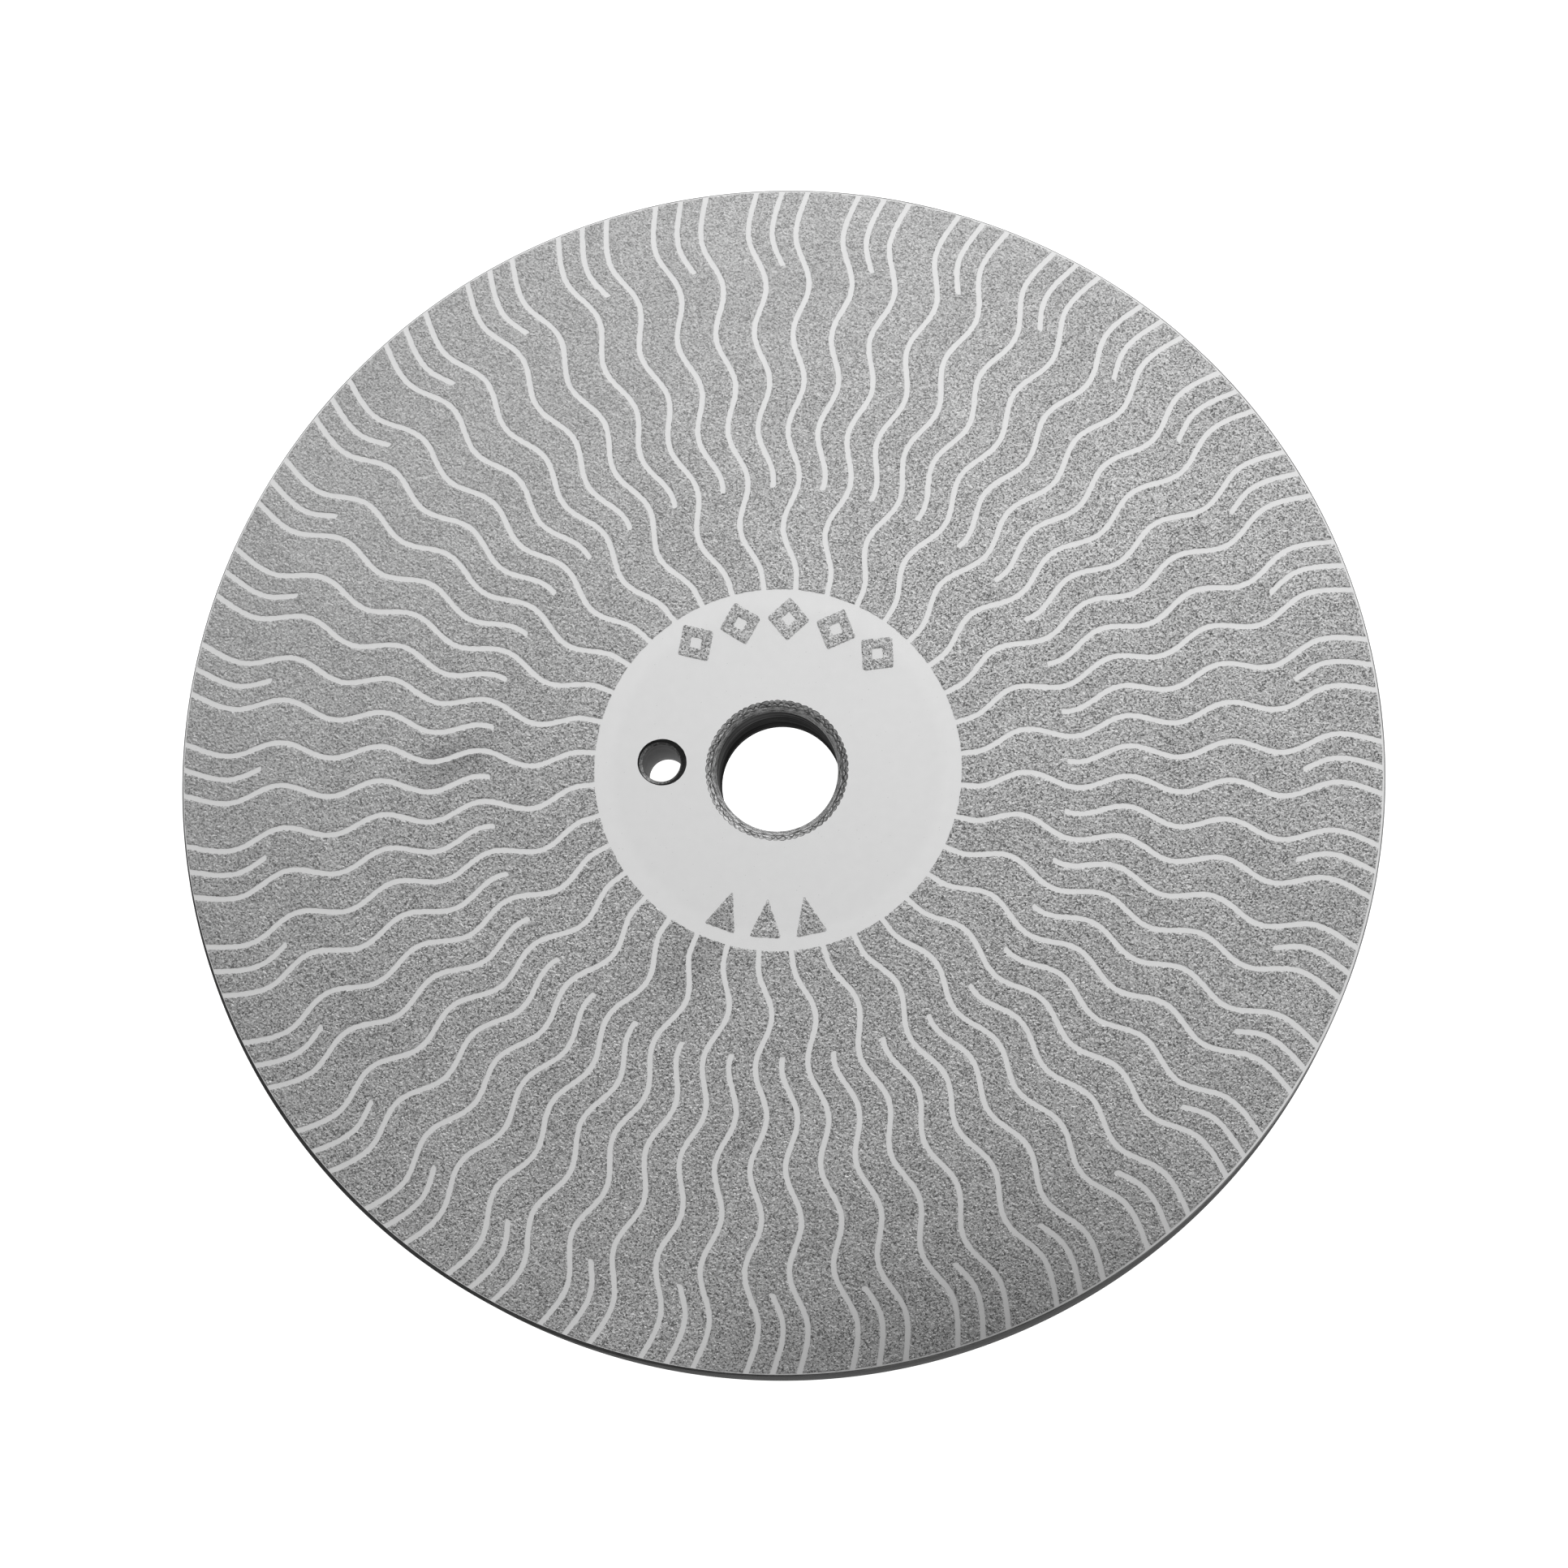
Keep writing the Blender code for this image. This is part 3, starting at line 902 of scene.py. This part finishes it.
def grains_inside(outlines, seed):
    """Grain positions on a jittered grid inside the outlines, kept clear of the edge."""
    draw = np.random.default_rng(seed)
    corners = [np.array([tuple(p) for p in outline]) for outline in outlines]
    low = corners[0].min(axis=0)
    high = corners[0].max(axis=0)
    rows = np.arange(low[1], high[1], GRAIN_ROW_PITCH)
    columns = np.arange(low[0], high[0], GRAIN_PITCH)
    x, y = np.meshgrid(columns, rows)
    x = x + (np.arange(len(rows)) % 2)[:, None] * 0.5 * GRAIN_PITCH
    points = np.stack([x.ravel(), y.ravel()], axis=1)
    points = points + draw.uniform(-GRAIN_JITTER, GRAIN_JITTER, points.shape) * GRAIN_PITCH
    inside = np.zeros(len(points), bool)
    nearest = np.full(len(points), 1.0)
    for loop in corners:
        following = np.roll(loop, -1, axis=0)
        for start, end in zip(loop, following):
            crosses = (start[1] > points[:, 1]) != (end[1] > points[:, 1])
            rise = end[1] - start[1]
            if rise != 0.0:
                at = start[0] + (points[:, 1] - start[1]) * (end[0] - start[0]) / rise
                inside ^= crosses & (points[:, 0] < at)
            nearest = np.minimum(nearest, np.hypot(points[:, 0] - start[0], points[:, 1] - start[1]))
    return points[inside & (nearest > 0.5 * GRAIN_PITCH)]


def plate_triangles(outlines, grains):
    """Triangulates outlines and grains together. Gives places, triangulation and the loops' indices."""
    places = [Vector(point) for outline in outlines for point in outline]
    edges = []
    loops = []
    start = 0
    for outline in outlines:
        loops.append(list(range(start, start + len(outline))))
        edges += [(start + i, start + (i + 1) % len(outline)) for i in range(len(outline))]
        start += len(outline)
    places += [Vector(grain) for grain in grains]
    found = geometry.delaunay_2d_cdt(places, edges, [], 2, 1e-9)
    return places, found, loops


def fitted_radius(radius, x, y):
    """Draws the outermost grit in, so that a bare ring is left all round, widest at one angle."""
    degrees = math.degrees(math.atan2(y, x))
    growth = BARE_RING_GROWTH * facing(degrees, WIDE_RING_ANGLE) ** 4
    limit = min(GRIT_OUTER_RADIUS - growth, face_radius(degrees) - BARE_RING_WIDTH)
    share = (radius - FITTED_FROM_RADIUS) / (GRIT_OUTER_RADIUS - FITTED_FROM_RADIUS)
    return FITTED_FROM_RADIUS + share * (limit - FITTED_FROM_RADIUS)


def plate_mesh(name, plan, turn, seed):
    """One plated patch: a rough grainy top, ragged sides down to the blank and a flat underside."""
    places, triangles, loops = plan
    draw = np.random.default_rng(seed)
    flat = np.array([tuple(p) for p in places])
    count = len(flat)
    rim = sum(len(loop) for loop in loops)
    ragged = draw.normal(0.0, 1.0, (rim, 2)).clip(-1.6, 1.6) * EDGE_RAGGEDNESS
    flat[:rim] += ragged
    cosine, sine = math.cos(math.radians(turn)), math.sin(math.radians(turn))
    x, y = flat[:, 0], flat[:, 1]
    turned = np.stack([x * cosine - y * sine, x * sine + y * cosine], axis=1)
    radius = np.hypot(turned[:, 0], turned[:, 1])
    for index in np.flatnonzero(radius > FITTED_FROM_RADIUS):
        turned[index] *= fitted_radius(radius[index], *turned[index]) / radius[index]
    height = GRIT_HEIGHT - GRAIN_RELIEF * draw.random(count) ** 1.3
    height[:rim] = GRIT_HEIGHT - GRAIN_RELIEF * draw.uniform(0.5, 1.1, rim)
    top = np.column_stack([turned, height])
    foot = np.column_stack([turned[:rim], np.full(rim, FACE_HEIGHT)])
    verts = np.vstack([top, foot])
    faces = [tuple(triangle) for triangle in triangles]
    for loop in loops:
        for index, here in enumerate(loop):
            after = loop[(index + 1) % len(loop)]
            faces.append((here, count + here, count + after, after))
    under = [tuple(count + i for i in reversed(triangle)) for triangle in triangles if max(triangle) < rim]
    mesh = bpy.data.meshes.new(name)
    mesh.from_pydata([tuple(v) for v in verts], [], faces + under)
    mesh.update()
    return mesh


def plan_of(outlines, seed):
    """The shared plan of a patch: its places, the triangles inside the outline, and its loops."""
    places, found, loops = plate_triangles(outlines, grains_inside(outlines, seed))
    source = [origin[0] if origin else -1 for origin in found[3]]
    triangles = []
    for triangle in found[2]:
        corners = [source[i] for i in triangle]
        if -1 in corners or len(set(corners)) < 3:
            continue
        middle = sum((found[0][i] for i in triangle), Vector((0.0, 0.0))) / 3.0
        if inside_outlines(middle, outlines):
            triangles.append(corners)
    return places, triangles, loops


def inside_outlines(point, outlines):
    """True if the point is inside the outer outline and outside the holes."""
    inside = False
    for outline in outlines:
        for start, end in zip(outline, outline[1:] + outline[:1]):
            if (start[1] > point[1]) != (end[1] > point[1]):
                at = start[0] + (point[1] - start[1]) * (end[0] - start[0]) / (end[1] - start[1])
                if point[0] < at:
                    inside = not inside
    return inside


def build_islands(material):
    plan = plan_of([island_outline()], ISLAND_PLAN_SEED)
    pieces = []
    for index in range(ISLANDS):
        name = "grit_%02d" % (index + 1)
        mesh = plate_mesh(name, plan, index * ISLAND_ANGLE, ISLAND_SEED + index)
        piece = new_object(name, mesh, [material])
        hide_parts("grit_island_%02d" % (index + 1))
        pieces.append(piece)
    return pieces


# ---------------------------------------------------------------- scene

def add_floor():
    """A plain white floor just under the disc. It glows a little, as a light table does."""
    grid = bmesh.new()
    bmesh.ops.create_grid(grid, x_segments=1, y_segments=1, size=FLOOR_HALF_SIZE)
    mesh = bpy.data.meshes.new("floor")
    grid.to_mesh(mesh)
    grid.free()
    look = Shading("pale_floor", (0.90, 0.90, 0.90), 0.0, 0.9)
    look.shader.inputs["Emission Color"].default_value = (1.0, 1.0, 1.0, 1.0)
    look.shader.inputs["Emission Strength"].default_value = FLOOR_GLOW
    floor = new_object("floor", mesh, [look.material])
    floor.location.z = -FLOOR_GAP


def add_soft_light(name, place, aim, width, depth, power):
    lamp = bpy.data.lights.new(name, "AREA")
    lamp.shape = "RECTANGLE"
    lamp.size, lamp.size_y = width, depth
    lamp.energy = power
    obj = bpy.data.objects.new(name, lamp)
    obj.location = place
    obj.rotation_mode = "QUATERNION"
    obj.rotation_quaternion = (Vector(aim) - Vector(place)).to_track_quat("-Z", "Y")
    bpy.context.scene.collection.objects.link(obj)


def add_world():
    world = bpy.data.worlds.new("studio")
    world.use_nodes = True
    background = world.node_tree.nodes["Background"]
    background.inputs["Color"].default_value = (1.0, 1.0, 1.0, 1.0)
    background.inputs["Strength"].default_value = WORLD_STRENGTH
    bpy.context.scene.world = world


def add_camera():
    data = bpy.data.cameras.new("camera")
    data.lens = CAMERA_LENS_MM
    data.sensor_width = 36.0
    data.shift_x, data.shift_y = CAMERA_SHIFT
    data.clip_start = 0.01
    camera = bpy.data.objects.new("camera", data)
    rise = math.radians(CAMERA_ELEVATION)
    backward = polar(math.cos(rise), CAMERA_AZIMUTH, math.sin(rise))
    forward = -backward
    right = polar(1.0, CAMERA_AZIMUTH + 90.0)
    down = forward.cross(right)
    roll = math.radians(CAMERA_ROLL)
    across = right * math.cos(roll) + down * math.sin(roll)
    up = right * math.sin(roll) - down * math.cos(roll)
    turn = Matrix((across, up, backward)).transposed().to_4x4()
    place = Vector(CAMERA_AIM) + backward * CAMERA_DISTANCE
    camera.matrix_world = Matrix.Translation(place) @ turn
    bpy.context.scene.collection.objects.link(camera)
    bpy.context.scene.camera = camera


def main():
    bpy.context.scene.view_settings.view_transform = "Standard"
    add_camera()
    add_world()
    for lamp in LAMPS:
        add_soft_light(*lamp)
    add_floor()
    blank = build_blank()
    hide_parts("wheel_blank")
    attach(blank, "root")
    grit = grit_metal()
    for piece in build_islands(grit) + build_marks(grit):
        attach(piece, "root")


main()
